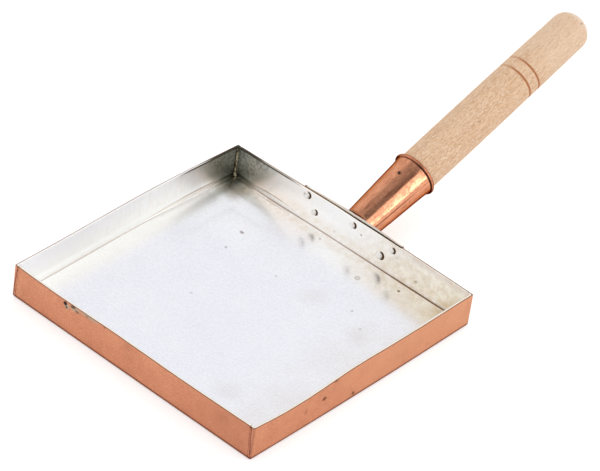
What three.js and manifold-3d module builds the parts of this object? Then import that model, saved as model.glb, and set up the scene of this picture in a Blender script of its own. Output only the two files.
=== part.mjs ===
import * as THREE from 'three';
import { mergeVertices } from 'three/addons/utils/BufferGeometryUtils.js';
import Module from 'manifold-3d';

// Square omelette pan: a tinned copper tray, a riveted socket and a turned wooden handle.
// Millimetres, +Z up. The origin is the centre of the tray's underside, and the handle points to +Y.

// Tray, folded from one sheet
const PAN_SIDE = 210; // outside, both ways
const PAN_HEIGHT = 25.8;
const SHEET = 1.5;
const INNER_FOLD = 0.5; // inside radius of the bend between floor and wall
const CORNER_RADIUS = 0.8; // outside of the upright corners
const INNER_CORNER = 0.5; // inside of the upright corners
const SEAM_INSET = 2.8; // upright seam line, from the corner
const SEAM_WIDTH = 0.4;
const SEAM_DEPTH = 0.35;

// How far the walls spring out at the rim between their soldered corners. The four heights of each wall
// belong to one, two, three and four half waves along it, counted anticlockwise from above.
const RIM_SPRING = {
  front: [0.85, 0.05, 0.35, 0.2],
  right: [0.95, 0.65, 0.7, 0.35],
  rear: [1.55, 0.1, -0.05, 0],
  left: [1.7, 0.6, -0.1, 0],
};

// Tin lining
const LINING = 0.25;
const LINING_GAP = 0.05;
const LINING_DROP = 0.2; // below the rim

// Solder in the upright inside corners
const SOLDER_LEG = 2.2;
const SOLDER_DROP = 1.2; // below the rim

// Plate behind the rear wall
const PLATE_WIDTH = 88;
const PLATE_OFFSET = -1.2; // middle of the plate, from the handle
const PLATE_THICKNESS = 1.2;
const PLATE_GAP = 0.3; // to the wall
const PLATE_RISE = 1.3; // top edge above the rear rim, at the middle
const PLATE_CROWN = 1.9; // rise of the top edge from its ends to its middle
const PLATE_BOTTOM = 4; // above the underside
const PLATE_SHOULDER = 11; // height of the rounded lower corners
const PLATE_FOOT = 62; // straight length of the bottom edge

// Rivets, set by hand and a little out of square
const RIVET_SHANK = 2.4;
const RIVET_HOLE_GAP = 0.3;
const RIVET_SEAT_GAP = 0.15;
const RIVET_HEAD = 4.2; // diameter of the domed heads inside the pan
const RIVET_HEAD_HEIGHT = 1.3;
const RIVET_TAIL = 4.4; // diameter of the hammered heads behind the plate
const RIVET_TAIL_HEIGHT = 1.1;
const RIVET_UPPER_DROP = 4.9; // upper row below the rim
const RIVET_LOWER_DROP = 14.2; // lower row below the rim
const RIVET_TILT = -0.017; // slope of the rows
const RIVET_INSET_LEFT = 5; // outer rivets, from the ends of the plate
const RIVET_INSET_RIGHT = 7.1;
const RIVET_STEP_LEFT = 8.3; // inner rivets, from the outer ones
const RIVET_STEP_RIGHT = 9.2;
const RIVET_CENTRE_OFFSET = 0.8;
const RIVET_CENTRE_MARGIN = 4; // tail of the centre rivet to the inside of the socket

// Socket: a rolled cone, with its own axis rising from the rear wall
const HANDLE_ANGLE = THREE.MathUtils.degToRad(18.82);
const SOCKET_LENGTH = 63.15; // along the axis, from the wall to the middle of the bead
const SOCKET_BASE_RADIUS = 12.05; // outside, where the axis meets the wall
const SOCKET_MOUTH_RADIUS = 15.72; // outside, at the bead
const SOCKET_SHEET = 0.9;
const SOCKET_SEAT_GAP = 0.3; // to the plate
const SOCKET_CLEARANCE = 1.2; // lowest point above the underside
const BEAD_RADIUS = 1.25;
const BEAD_CURL = 0.65 * Math.PI; // where the rolled edge turns in to the mouth
const BRAZE_LEG = 1.8;
const BRAZE_GAP = 0.3; // to the cone
const BRAZE_CLEARANCE = 0.6; // above the underside

// Wooden handle
const TENON_DEPTH = 48; // inside the socket
const TENON_FIT = 0.3;
const GRIP_LENGTH = 173; // from the bead to the end
const GRIP_RADIUS = 14.97; // at the belly
const GRIP_BELLY = 51; // from the bead
const GRIP_DRAW = 0.52; // radius lost from the belly to the start of the dome
const GRIP_DOME = 12; // length of the rounded end
const SHOULDER_GAP = 1.6; // from the middle of the bead to the full grip
const GROOVE_FROM_END = 70; // first scored ring
const GROOVE_SPACING = 9.5;
const GROOVE_WIDTH = 1.6;
const GROOVE_DEPTH = 0.7;

// Nail through the top of the socket
const NAIL_FROM_BEAD = 13.8;
const NAIL_SHANK = 1.6;
const NAIL_LENGTH = 11; // below the head
const NAIL_HEAD = 2.6;
const NAIL_HEAD_HEIGHT = 0.6;
const NAIL_POINT = 2;
const NAIL_GAP = 0.3;

// Facets
const FOLD_STEPS = 3;
const FLOOR_BORDER = 10; // strip of small facets round the floor
const CORNER_STEPS = 4;
const EDGE_STEPS = 16;
const ROUND_STEPS = 40;
const RIVET_STEPS = 20;
const ARC_STEPS = 3;
const GRIP_STEPS = 8;
const MERGE = 1e-4;
const CUT_MARGIN = 5; // how far a cutting solid runs past what it cuts

// Places that several pieces share
const HALF = PAN_SIDE / 2;
const OUTER_FOLD = INNER_FOLD + SHEET;
const LINING_OUTSIDE = SHEET + LINING_GAP; // depth below the outside of the tray
const LINING_FACE = LINING_OUTSIDE + LINING;
const WALLS = [
  { name: 'front', out: new THREE.Vector2(0, -1) },
  { name: 'right', out: new THREE.Vector2(1, 0) },
  { name: 'rear', out: new THREE.Vector2(0, 1) },
  { name: 'left', out: new THREE.Vector2(-1, 0) },
];
// The rear wall leans back, and what is riveted to it stands in its frame: the foot of its outer face is
// the origin there, and Y is square to it.
const REAR_LEAN = Math.atan(rimSpring('rear', 0) / PAN_HEIGHT);
const REAR_FRAME = new THREE.Matrix4()
  .makeTranslation(0, HALF, 0)
  .multiply(new THREE.Matrix4().makeRotationX(-REAR_LEAN));
const PLATE_BACK = PLATE_GAP + PLATE_THICKNESS;
const SOCKET_BASE = PLATE_BACK + SOCKET_SEAT_GAP;
const SOCKET_SLOPE = (SOCKET_MOUTH_RADIUS - SOCKET_BASE_RADIUS) / SOCKET_LENGTH;
const SOCKET_TILT = HANDLE_ANGLE + REAR_LEAN;
const SIN = Math.sin(SOCKET_TILT);
const COS = Math.cos(SOCKET_TILT);
// Stations along the axis where the cone's top and bottom lines meet the plane of its base
const TOP_STATION = (SOCKET_BASE + SOCKET_BASE_RADIUS * SIN) / (COS - SOCKET_SLOPE * SIN);
const BOTTOM_STATION = (SOCKET_BASE - SOCKET_BASE_RADIUS * SIN) / (COS + SOCKET_SLOPE * SIN);
// The axis meets the wall at the height that keeps the cone clear of the underside
const SOCKET_FOOT = (SOCKET_CLEARANCE + SOCKET_BASE * Math.sin(REAR_LEAN)) / Math.cos(REAR_LEAN);
const AXIS_HEIGHT = SOCKET_FOOT + socketRadius(BOTTOM_STATION) * COS - BOTTOM_STATION * SIN;
const SOCKET_TOP = AXIS_HEIGHT + TOP_STATION * SIN + socketRadius(TOP_STATION) * COS;
const HANDLE_FRAME = new THREE.Matrix4()
  .makeTranslation(0, 0, AXIS_HEIGHT)
  .multiply(new THREE.Matrix4().makeRotationX(SOCKET_TILT));
const NAIL_STATION = SOCKET_LENGTH - NAIL_FROM_BEAD;
const RIVETS = rivetPlaces();

const wasm = await Module();
wasm.setup();

// How far a wall springs out at the rim, at a place along it from the wall's middle.
function rimSpring(wall, along) {
  const share = (along + HALF) / PAN_SIDE;
  return RIM_SPRING[wall].reduce((sum, height, i) => sum + height * Math.sin((i + 1) * Math.PI * share), 0);
}

// Outside radius of the cone at a station along its axis.
function socketRadius(station) {
  return SOCKET_BASE_RADIUS + SOCKET_SLOPE * station;
}

// Centres of the rivets on the rear wall, in its frame.
function rivetPlaces() {
  const leftOuter = PLATE_OFFSET - PLATE_WIDTH / 2 + RIVET_INSET_LEFT;
  const rightOuter = PLATE_OFFSET + PLATE_WIDTH / 2 - RIVET_INSET_RIGHT;
  const upper = (x) => PAN_HEIGHT - RIVET_UPPER_DROP + RIVET_TILT * x;
  const lower = (x) => PAN_HEIGHT - RIVET_LOWER_DROP + RIVET_TILT * x;
  const leftInner = leftOuter + RIVET_STEP_LEFT;
  const rightInner = rightOuter - RIVET_STEP_RIGHT;
  const centreHeight = SOCKET_TOP - SOCKET_SHEET / COS - RIVET_CENTRE_MARGIN - RIVET_TAIL / 2;
  return [
    { name: 'rivet_outer_left', x: leftOuter, z: upper(leftOuter) },
    { name: 'rivet_inner_left', x: leftInner, z: lower(leftInner) },
    { name: 'rivet_centre', x: RIVET_CENTRE_OFFSET, z: centreHeight },
    { name: 'rivet_inner_right', x: rightInner, z: lower(rightInner) },
    { name: 'rivet_outer_right', x: rightOuter, z: upper(rightOuter) },
  ];
}

// Solid for joins and cuts, from a closed geometry.
function solid(geometry) {
  const bare = geometry.clone();
  bare.deleteAttribute('normal');
  bare.deleteAttribute('uv');
  const merged = mergeVertices(bare, MERGE);
  const corners = [];
  for (let i = 0; i < merged.index.count; i += 3) {
    const [a, b, c] = [0, 1, 2].map((k) => merged.index.getX(i + k));
    if (a !== b && b !== c && c !== a) corners.push(a, b, c);
  }
  return new wasm.Manifold(new wasm.Mesh({
    numProp: 3,
    vertProperties: new Float32Array(merged.attributes.position.array),
    triVerts: new Uint32Array(corners),
  }));
}

// Geometry of a finished solid.
function geometryOf(body) {
  const mesh = body.getMesh();
  const geometry = new THREE.BufferGeometry();
  geometry.setAttribute('position', new THREE.BufferAttribute(mesh.vertProperties, 3));
  geometry.setIndex(new THREE.BufferAttribute(mesh.triVerts, 1));
  geometry.computeVertexNormals();
  return geometry;
}

function piece(name, geometry, color, roughness, metalness) {
  const mesh = new THREE.Mesh(geometry, new THREE.MeshStandardMaterial({ color, roughness, metalness }));
  mesh.name = name;
  return mesh;
}

function copper(name, geometry) {
  return piece(name, geometry, 0xcf8a66, 0.42, 1);
}

function polishedCopper(name, geometry) {
  return piece(name, geometry, 0xc9774f, 0.2, 1);
}

function tin(name, geometry) {
  return piece(name, geometry, 0xe6e6e8, 0.38, 1);
}

function box(low, high) {
  const size = high.map((value, i) => value - low[i]);
  const geometry = new THREE.BoxGeometry(...size);
  return geometry.translate(...low.map((value, i) => value + size[i] / 2));
}

// Plan of the tray at one height: a square with rounded corners, whose sides spring out towards the rim.
function ring(half, radius, height) {
  const straight = half - radius;
  const points = [];
  WALLS.forEach(({ name, out }, i) => {
    const along = new THREE.Vector2(-out.y, out.x);
    const place = (across, forward) => {
      const flat = out.clone().multiplyScalar(across).addScaledVector(along, forward);
      points.push(new THREE.Vector3(flat.x, flat.y, height));
    };
    for (let k = 0; k <= EDGE_STEPS; k++) {
      const forward = straight * ((2 * k) / EDGE_STEPS - 1);
      place(half + (rimSpring(name, forward) * height) / PAN_HEIGHT, forward);
    }
    for (let k = 1; k < CORNER_STEPS; k++) {
      const turn = ((Math.PI / 2) * k) / CORNER_STEPS;
      place(straight + radius * Math.cos(turn), straight + radius * Math.sin(turn));
    }
  });
  return points;
}

// One face of the folded sheet, from the edge of the floor round the fold and up to the rim.
// Depth is measured into the sheet from the outside of the tray.
function skin(depth, corner, rim) {
  const fold = OUTER_FOLD - depth;
  const rings = [];
  for (let k = 0; k <= FOLD_STEPS; k++) {
    const turn = ((Math.PI / 2) * k) / FOLD_STEPS;
    rings.push(ring(HALF - depth - fold * (1 - Math.sin(turn)), corner, depth + fold * (1 - Math.cos(turn))));
  }
  rings.push(ring(HALF - depth, corner, rim));
  return rings;
}

// Open box between an outer and an inner skin.
function trayShell(outer, inner) {
  const rings = [...outer, ...inner.toReversed()];
  const count = rings[0].length;
  const points = rings.flat();
  const index = [];
  for (let row = 0; row + 1 < rings.length; row++) {
    const start = row * count;
    for (let k = 0; k < count; k++) {
      const [a, b] = [start + k, start + ((k + 1) % count)];
      const [c, d] = [b + count, a + count];
      // Facing skins split their four-sided facets alike, so that they stay parallel
      if (row < outer.length) index.push(a, b, c, a, c, d);
      else index.push(a, b, d, b, c, d);
    }
  }
  addFloor(points, index, 0, count, true);
  addFloor(points, index, count * (rings.length - 1), count, false);
  const geometry = new THREE.BufferGeometry().setFromPoints(points);
  return geometry.setIndex(index);
}

// Flat floor inside one ring: a square in the middle, and a border that joins it to the ring.
function addFloor(points, index, start, count, facesDown) {
  const first = points.length;
  const corner = points[start].clone();
  const inside = Math.min(Math.abs(corner.x), Math.abs(corner.y)) - FLOOR_BORDER;
  for (const [x, y] of [[-1, -1], [1, -1], [1, 1], [-1, 1]]) {
    points.push(new THREE.Vector3(x * inside, y * inside, corner.z));
  }
  const face = (a, b, c) => (facesDown ? index.push(a, c, b) : index.push(a, b, c));
  const nearest = (k) => first + (Math.floor((4 * k) / count + 0.5) % 4);
  for (let k = 0; k < count; k++) {
    const next = k + 1;
    face(start + k, start + (next % count), nearest(k));
    if (nearest(next) !== nearest(k)) face(start + (next % count), nearest(next), nearest(k));
  }
  face(first, first + 1, first + 2);
  face(first, first + 2, first + 3);
}

// A shape drawn in X and Z, thickened along Y from front to back.
function upright(shape, front, back, curveSegments) {
  const geometry = new THREE.ExtrudeGeometry(shape, {
    depth: back - front,
    bevelEnabled: false,
    curveSegments,
  });
  return geometry.rotateX(Math.PI / 2).translate(0, back, 0);
}

// Round hole along Y at a rivet, through everything from front to back.
function rivetHole({ x, z }, front, back) {
  const radius = RIVET_SHANK / 2 + RIVET_HOLE_GAP;
  const hole = new THREE.CylinderGeometry(radius, radius, back - front, RIVET_STEPS);
  return hole.translate(x, (front + back) / 2, z);
}

function cutRivetHoles(body, front, back, frame) {
  return RIVETS.reduce((left, place) => {
    const hole = rivetHole(place, front, back).applyMatrix4(frame);
    return left.subtract(solid(hole));
  }, body);
}

// Copper tray: the folded sheet, its rivet holes and its four corner seams.
function panBody() {
  let tray = solid(trayShell(skin(0, CORNER_RADIUS, PAN_HEIGHT), skin(SHEET, INNER_CORNER, PAN_HEIGHT)));
  tray = cutRivetHoles(tray, -SHEET - CUT_MARGIN, CUT_MARGIN, REAR_FRAME);
  for (const sideX of [-1, 1]) {
    for (const sideY of [-1, 1]) {
      const x = sideX * (HALF - SEAM_INSET);
      const y = sideY * HALF;
      const low = [x - SEAM_WIDTH / 2, y - SEAM_DEPTH, OUTER_FOLD];
      const high = [x + SEAM_WIDTH / 2, y + SEAM_DEPTH, PAN_HEIGHT + CUT_MARGIN];
      tray = tray.subtract(solid(box(low, high)));
    }
  }
  return copper('pan_body', geometryOf(tray));
}

// Tin skin over the inside of the tray.
function tinLining() {
  const rim = PAN_HEIGHT - LINING_DROP;
  const outside = skin(LINING_OUTSIDE, INNER_CORNER - LINING_GAP, rim);
  const inside = skin(LINING_FACE, INNER_CORNER - LINING_GAP - LINING, rim);
  const lining = solid(trayShell(outside, inside));
  return tin('tin_lining', geometryOf(cutRivetHoles(lining, -LINING_FACE - CUT_MARGIN, 0, REAR_FRAME)));
}

// Hollow fillet of solder up one inside corner of the tray.
function cornerSolder(name, sideX, sideY) {
  const section = new THREE.Shape();
  section.moveTo(0, 0).lineTo(SOLDER_LEG, 0);
  section.absarc(SOLDER_LEG, SOLDER_LEG, SOLDER_LEG, 1.5 * Math.PI, Math.PI, true);
  section.closePath();
  const bottom = SHEET + INNER_FOLD + LINING;
  const geometry = new THREE.ExtrudeGeometry(section, {
    depth: PAN_HEIGHT - SOLDER_DROP - bottom,
    bevelEnabled: false,
    curveSegments: CORNER_STEPS,
  });
  const mesh = tin(name, geometry);
  const corner = HALF - LINING_FACE - LINING_GAP;
  mesh.position.set(sideX * corner, sideY * corner, bottom);
  mesh.rotation.z = Math.atan2(-sideY, -sideX) - Math.PI / 4;
  return mesh;
}

// Plate behind the rear wall, with a crowned top edge and rounded lower corners.
function handlePlate() {
  const half = PLATE_WIDTH / 2;
  const middle = PAN_HEIGHT + PLATE_RISE;
  const end = middle - PLATE_CROWN;
  const shoulder = PLATE_BOTTOM + PLATE_SHOULDER;
  const outline = new THREE.Shape();
  outline.moveTo(-PLATE_FOOT / 2, PLATE_BOTTOM).lineTo(PLATE_FOOT / 2, PLATE_BOTTOM);
  outline.quadraticCurveTo(half, PLATE_BOTTOM, half, shoulder).lineTo(half, end);
  outline.quadraticCurveTo(0, middle + PLATE_CROWN, -half, end).lineTo(-half, shoulder);
  outline.quadraticCurveTo(-half, PLATE_BOTTOM, -PLATE_FOOT / 2, PLATE_BOTTOM);
  const blank = upright(outline, PLATE_GAP, PLATE_BACK, EDGE_STEPS).translate(PLATE_OFFSET, 0, 0);
  const plate = cutRivetHoles(solid(blank), 0, PLATE_BACK + CUT_MARGIN, new THREE.Matrix4());
  return copper('handle_plate', geometryOf(plate));
}

// Rivet along Y: domed head inside the pan, shank, and hammered head behind the plate.
function rivet({ name, x, z }) {
  const hollow = ((rimSpring('rear', 0) - rimSpring('rear', -x)) * z) / PAN_HEIGHT;
  const head = -LINING_FACE - hollow - RIVET_SEAT_GAP;
  const length = PLATE_BACK + RIVET_SEAT_GAP - head;
  const profile = new THREE.Path();
  profile.moveTo(0, -RIVET_HEAD_HEIGHT);
  profile.absellipse(0, 0, RIVET_HEAD / 2, RIVET_HEAD_HEIGHT, -Math.PI / 2, 0, false);
  profile.lineTo(RIVET_SHANK / 2, 0).lineTo(RIVET_SHANK / 2, length).lineTo(RIVET_TAIL / 2, length);
  profile.absellipse(0, length, RIVET_TAIL / 2, RIVET_TAIL_HEIGHT, 0, Math.PI / 2, false);
  const mesh = tin(name, new THREE.LatheGeometry(axisPoints(profile), RIVET_STEPS));
  mesh.position.set(x, head, z);
  return mesh;
}

// Points of a turned profile, with its two ends set exactly on the axis.
function axisPoints(profile) {
  const points = profile.getPoints(ARC_STEPS);
  points[0].x = 0;
  points[points.length - 1].x = 0;
  return points;
}

// Cone without a bore, widened all round by grow, from below its base to a station.
function fullCone(grow, station) {
  const start = BOTTOM_STATION - CUT_MARGIN;
  const profile = [
    new THREE.Vector2(0, start),
    new THREE.Vector2(socketRadius(start) + grow, start),
    new THREE.Vector2(socketRadius(station) + grow, station),
    new THREE.Vector2(0, station),
  ];
  return new THREE.LatheGeometry(profile, ROUND_STEPS);
}

// Round hole for the nail, from the axis of the handle out through the socket.
function nailHole() {
  const radius = NAIL_SHANK / 2 + NAIL_GAP;
  const top = SOCKET_MOUTH_RADIUS + CUT_MARGIN;
  const bottom = socketRadius(NAIL_STATION) - NAIL_LENGTH - NAIL_GAP;
  const hole = new THREE.CylinderGeometry(radius, radius, top - bottom, RIVET_STEPS);
  return hole.rotateX(Math.PI / 2).translate(0, NAIL_STATION, (top + bottom) / 2);
}

// Rolled cone with a bead at its mouth, cut off square to the plate. Its axis is Y.
function handleSocket() {
  const start = BOTTOM_STATION - CUT_MARGIN;
  const mouth = SOCKET_LENGTH;
  const outline = new THREE.Path();
  outline.moveTo(socketRadius(start), start);
  outline.lineTo(socketRadius(mouth - BEAD_RADIUS), mouth - BEAD_RADIUS);
  outline.absarc(socketRadius(mouth), mouth, BEAD_RADIUS, -Math.PI / 2, BEAD_CURL, false);
  outline.lineTo(socketRadius(mouth) - SOCKET_SHEET, mouth);
  outline.lineTo(socketRadius(start) - SOCKET_SHEET, start);
  outline.closePath();
  const wall = solid(new THREE.LatheGeometry(outline.getPoints(ARC_STEPS), ROUND_STEPS));
  const reach = 2 * SOCKET_LENGTH;
  const beyondBase = box([-reach, -reach, -reach], [reach, SOCKET_BASE, reach]);
  beyondBase.applyMatrix4(HANDLE_FRAME.clone().invert());
  const cone = wall.subtract(solid(beyondBase)).subtract(solid(nailHole()));
  return polishedCopper('handle_socket', geometryOf(cone));
}

// Brazed fillet round the foot of the cone, against the plate.
function socketBraze() {
  const rise = (SOCKET_TOP - SOCKET_FOOT) / 2;
  const across = socketRadius((TOP_STATION + BOTTOM_STATION) / 2);
  const profile = new THREE.Path();
  profile.moveTo(across, 0).lineTo(across + BRAZE_LEG, 0);
  profile.absarc(across + BRAZE_LEG, BRAZE_LEG, BRAZE_LEG, -Math.PI / 2, -Math.PI, true);
  profile.closePath();
  const ring = new THREE.LatheGeometry(profile.getPoints(ARC_STEPS), ROUND_STEPS);
  ring.scale(1, 1, (rise + BRAZE_LEG) / (across + BRAZE_LEG)).translate(0, SOCKET_BASE, SOCKET_FOOT + rise);
  const cone = fullCone(BRAZE_GAP, SOCKET_LENGTH / 2).applyMatrix4(HANDLE_FRAME);
  const below = box([-HALF, HALF, -HALF], [HALF, PAN_SIDE, BRAZE_CLEARANCE]);
  below.applyMatrix4(REAR_FRAME.clone().invert());
  const fillet = solid(ring).subtract(solid(cone)).subtract(solid(below));
  return piece('socket_braze', geometryOf(fillet), 0xb98a4e, 0.5, 1);
}

// Radius of the grip at a station along the axis: a slight belly.
function gripRadius(station) {
  const belly = SOCKET_LENGTH + GRIP_BELLY;
  const end = SOCKET_LENGTH + GRIP_LENGTH - GRIP_DOME;
  return GRIP_RADIUS - GRIP_DRAW * ((station - belly) / (end - belly)) ** 2;
}

// Profile of the grip between two stations, as points of a turned outline.
function gripPoints(from, to, steps) {
  return Array.from({ length: steps + 1 }, (_, i) => {
    const station = from + ((to - from) * i) / steps;
    return new THREE.Vector2(gripRadius(station), station);
  });
}

// Turned handle: tapered tenon, grip with two scored rings, and a domed end. Its axis is Y.
function woodHandle() {
  const mouth = SOCKET_LENGTH;
  const tenonStart = mouth - TENON_DEPTH;
  const tenonEnd = mouth + SHOULDER_GAP / 2;
  const tenonRadius = (station) => socketRadius(station) - SOCKET_SHEET - TENON_FIT;
  const end = mouth + GRIP_LENGTH;
  const dome = end - GRIP_DOME;
  const points = [
    new THREE.Vector2(0, tenonStart),
    new THREE.Vector2(tenonRadius(tenonStart), tenonStart),
    new THREE.Vector2(tenonRadius(mouth), tenonEnd),
  ];
  let from = mouth + SHOULDER_GAP;
  for (const groove of [end - GROOVE_FROM_END, end - GROOVE_FROM_END + GROOVE_SPACING]) {
    points.push(...gripPoints(from, groove - GROOVE_WIDTH / 2, GRIP_STEPS));
    points.push(new THREE.Vector2(gripRadius(groove) - GROOVE_DEPTH, groove));
    from = groove + GROOVE_WIDTH / 2;
  }
  points.push(...gripPoints(from, dome, GRIP_STEPS));
  const round = new THREE.EllipseCurve(0, dome, gripRadius(dome), GRIP_DOME, 0, Math.PI / 2);
  points.push(...round.getPoints(GRIP_STEPS).slice(1));
  points[points.length - 1].x = 0;
  const turned = solid(new THREE.LatheGeometry(points, ROUND_STEPS));
  const wood = turned.subtract(solid(nailHole()));
  return piece('wood_handle', geometryOf(wood), 0xe3c09b, 0.7, 0);
}

// Nail down through the top of the socket into the tenon. It is turned about Y, then stood along Z.
function handleNail() {
  const shank = NAIL_SHANK / 2;
  const profile = new THREE.Path();
  profile.moveTo(0, -NAIL_LENGTH).lineTo(shank, NAIL_POINT - NAIL_LENGTH).lineTo(shank, 0);
  profile.lineTo(NAIL_HEAD / 2, 0);
  profile.absellipse(0, 0, NAIL_HEAD / 2, NAIL_HEAD_HEIGHT, 0, Math.PI / 2, false);
  const geometry = new THREE.LatheGeometry(axisPoints(profile), RIVET_STEPS).rotateX(Math.PI / 2);
  const mesh = piece('handle_nail', geometry, 0x3a322e, 0.5, 1);
  mesh.position.set(0, NAIL_STATION, socketRadius(NAIL_STATION) + NAIL_GAP);
  return mesh;
}

function tray() {
  const group = new THREE.Group();
  group.add(panBody(), tinLining());
  for (const [nameY, sideY] of [['front', -1], ['rear', 1]]) {
    for (const [nameX, sideX] of [['left', -1], ['right', 1]]) {
      group.add(cornerSolder(`corner_solder_${nameY}_${nameX}`, sideX, sideY));
    }
  }
  return group;
}

function handle() {
  const group = new THREE.Group();
  group.position.set(0, 0, AXIS_HEIGHT);
  group.rotation.x = SOCKET_TILT;
  group.add(handleSocket(), woodHandle(), handleNail());
  return group;
}

// Everything that the rear wall carries, in its leaning frame.
function rearFixing() {
  const group = new THREE.Group();
  group.position.set(0, HALF, 0);
  group.rotation.x = -REAR_LEAN;
  group.add(handlePlate(), ...RIVETS.map(rivet), socketBraze(), handle());
  return group;
}

const pan = new THREE.Group();
pan.name = 'square_omelette_pan';
pan.add(tray(), rearFixing());

export default pan;
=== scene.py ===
"""Looks of the square omelette pan: its pieces in fine mesh, their materials, the studio and the camera."""

from math import atan, copysign, cos, degrees, exp, pi, radians, sin

import bmesh
import bpy
from mathutils import Matrix, Vector, noise


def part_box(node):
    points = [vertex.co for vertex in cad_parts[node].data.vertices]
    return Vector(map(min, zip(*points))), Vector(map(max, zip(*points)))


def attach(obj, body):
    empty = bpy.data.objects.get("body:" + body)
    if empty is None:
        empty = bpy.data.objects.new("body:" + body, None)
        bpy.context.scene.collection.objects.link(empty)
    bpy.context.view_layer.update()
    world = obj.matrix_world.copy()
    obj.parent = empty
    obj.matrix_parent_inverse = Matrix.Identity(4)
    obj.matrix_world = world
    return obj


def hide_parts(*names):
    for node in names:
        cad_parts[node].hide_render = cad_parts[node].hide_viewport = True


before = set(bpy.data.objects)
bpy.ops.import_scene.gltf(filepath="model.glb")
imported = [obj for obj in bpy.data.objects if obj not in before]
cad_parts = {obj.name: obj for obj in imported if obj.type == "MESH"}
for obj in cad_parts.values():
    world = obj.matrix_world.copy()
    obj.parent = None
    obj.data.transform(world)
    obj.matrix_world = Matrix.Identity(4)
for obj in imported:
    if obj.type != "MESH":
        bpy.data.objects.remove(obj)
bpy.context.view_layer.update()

MM = 0.001

# Tray, in millimetres
HALF = 105
HEIGHT = 25.8
SHEET = 1.5
OUTER_FOLD = 2
INNER_FOLD = 0.5
CORNER = 0.8
INNER_CORNER = CORNER / 2
FOOT_CORNER = 1.6  # added to the upright corners where they turn under
FLAT_INSET = 12  # from the edge to where one flat face closes the floor
RIM_ROUND = 0.4
RIM_ARRIS = 0.04
SEAM_INSET = 2.8
SEAM_DEPTH = 0.3
SEAM_NOTCH = 0.4
SEAM_HALF = 0.2
SEAM_STEPS = (-0.35, -0.1, 0.1, 0.35)  # places of mesh points across a seam
TIN_STEP = 0.12  # how fast the tin takes over round the rim, ring by ring
WALLS = {"front": (0, -1), "right": (1, 0), "rear": (0, 1), "left": (-1, 0)}
# Outward bow of each wall at the rim and at its foot: heights of one, two, three and four half waves
RIM_BOW = {
    "front": (0.85, 0.05, 0.35, 0.2),
    "right": (0.95, 0.65, 0.7, 0.35),
    "rear": (1.55, 0.1, -0.05, 0),
    "left": (1.7, 0.6, -0.1, 0),
}
FOOT_BOW = {
    "front": (0.1, 0, 0, 0),
    "right": (0.9, 0, 0, 0),
    "rear": (0, 0, 0, 0),
    "left": (1.6, 0.5, -0.1, 0),
}

# Tin lining
LINING_BACK = 1.55  # depth below the outside of the tray
LINING_FACE = 1.8
LINING_TOP = HEIGHT - 0.02
LINING_EASE = 0.4
BEND_RUN = 0.9  # how far the lining bends in above the floor
BEND_RISE = 3.2
BEND_STEPS = 8

# Solder in the corners: its name in the CAD and the sides it stands on
SOLDERS = {
    "corner_solder_front_left": (-1, -1),
    "corner_solder_front_right": (1, -1),
    "corner_solder_rear_left": (-1, 1),
    "corner_solder_rear_right": (1, 1),
}
SOLDER_ROWS = 60
SOLDER_LEG = 1.35
SOLDER_FOOT = 1.9  # added to the leg where it meets the floor
SOLDER_FADE = 1.8  # height over which that narrows
SOLDER_LIFT = 0.25  # above the floor
SOLDER_SHORT = 1.8  # how much lower than the wall it is
SOLDER_LUMPS = 0.55
SOLDER_DENTS = 0.22
SOLDER_HOLLOW = 0.82

# Rear wall's own frame, and the handle's frame in it
REAR_LEAN = atan(1.6 / HEIGHT)
REAR = Matrix.Translation((0, HALF * MM, 0)) @ Matrix.Rotation(-REAR_LEAN, 4, "X")
HANDLE_ANGLE = radians(18.82)
TILT = HANDLE_ANGLE + REAR_LEAN
SIN = sin(TILT)
COS = cos(TILT)

# Plate and rivets
PLATE_WIDTH = 88
PLATE_OFFSET = -1.2
PLATE_FRONT = 0.3
PLATE_BACK = 1.5
PLATE_BEVEL = 0.3
PLATE_RISE = 1.3
PLATE_CROWN = 1.9
PLATE_BOTTOM = 4
PLATE_SHOULDER = 11
PLATE_FOOT = 62
LEFT_EAR = 1.3  # how far the ends of the upper edge turn up
RIGHT_EAR = 0.9
EAR_START = 38
EAR_LENGTH = 6
RIVETS = {  # size of each head inside the pan, as a share of HEAD
    "rivet_outer_left": 1.15,
    "rivet_inner_left": 1.0,
    "rivet_centre": 1.05,
    "rivet_inner_right": 1.35,
    "rivet_outer_right": 1.05,
}
HEAD = 2.1
HEAD_HEIGHT = 1.3
TAIL = 2.2
TAIL_HEIGHT = 1.1
SHANK = 1.2
RIVET_GAP = 0.12  # between a head and what it sits on
TAIL_GAP = 0.15
RIVET_TIP = 0.12  # radius left open at both ends

# Socket
SOCKET_BASE = PLATE_BACK + 0.3
SOCKET_LENGTH = 63.15
BASE_RADIUS = 12.05
MOUTH_RADIUS = 15.72
SLOPE = (MOUTH_RADIUS - BASE_RADIUS) / SOCKET_LENGTH
SOCKET_SHEET = 0.9
SOCKET_CLEARANCE = 1.2
SOCKET_STEPS = 24
BEAD = 1.25
BEAD_STEPS = 14
SEAM_ANGLE = 17  # of the lap along the cone, in degrees
LAP_WIDTH = 40
LAP_HEIGHT = 0.16
BRAZE_LEG = 1.8
BRAZE_HOLLOW = 0.92
BRAZE_GAP = 0.12
BRAZE_CLEARANCE = 0.9

# Grip and nail
TENON_DEPTH = 48
TENON_FIT = SOCKET_SHEET + 0.3
GRIP_LENGTH = 173
GRIP_RADIUS = 14.97
GRIP_BELLY = 51
GRIP_DRAW = 0.52
GRIP_DOME = 12
SHOULDER = 1.6
SHOULDER_EASE = 0.25
GRIP_END = SOCKET_LENGTH + GRIP_LENGTH
GROOVES = (GRIP_END - 70.0, GRIP_END - 60.5)
GROOVE_WIDTH = 1.6
GROOVE_DEPTH = 0.7
NAIL_STATION = SOCKET_LENGTH - 13.8
NAIL_HEAD = 0.95
NAIL_RISE = 0.5
NAIL_SHANK = 0.7
NAIL_LENGTH = 11
NAIL_GAP = 0.05
NAIL_TIP = 0.05  # radius left open at both ends

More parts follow.
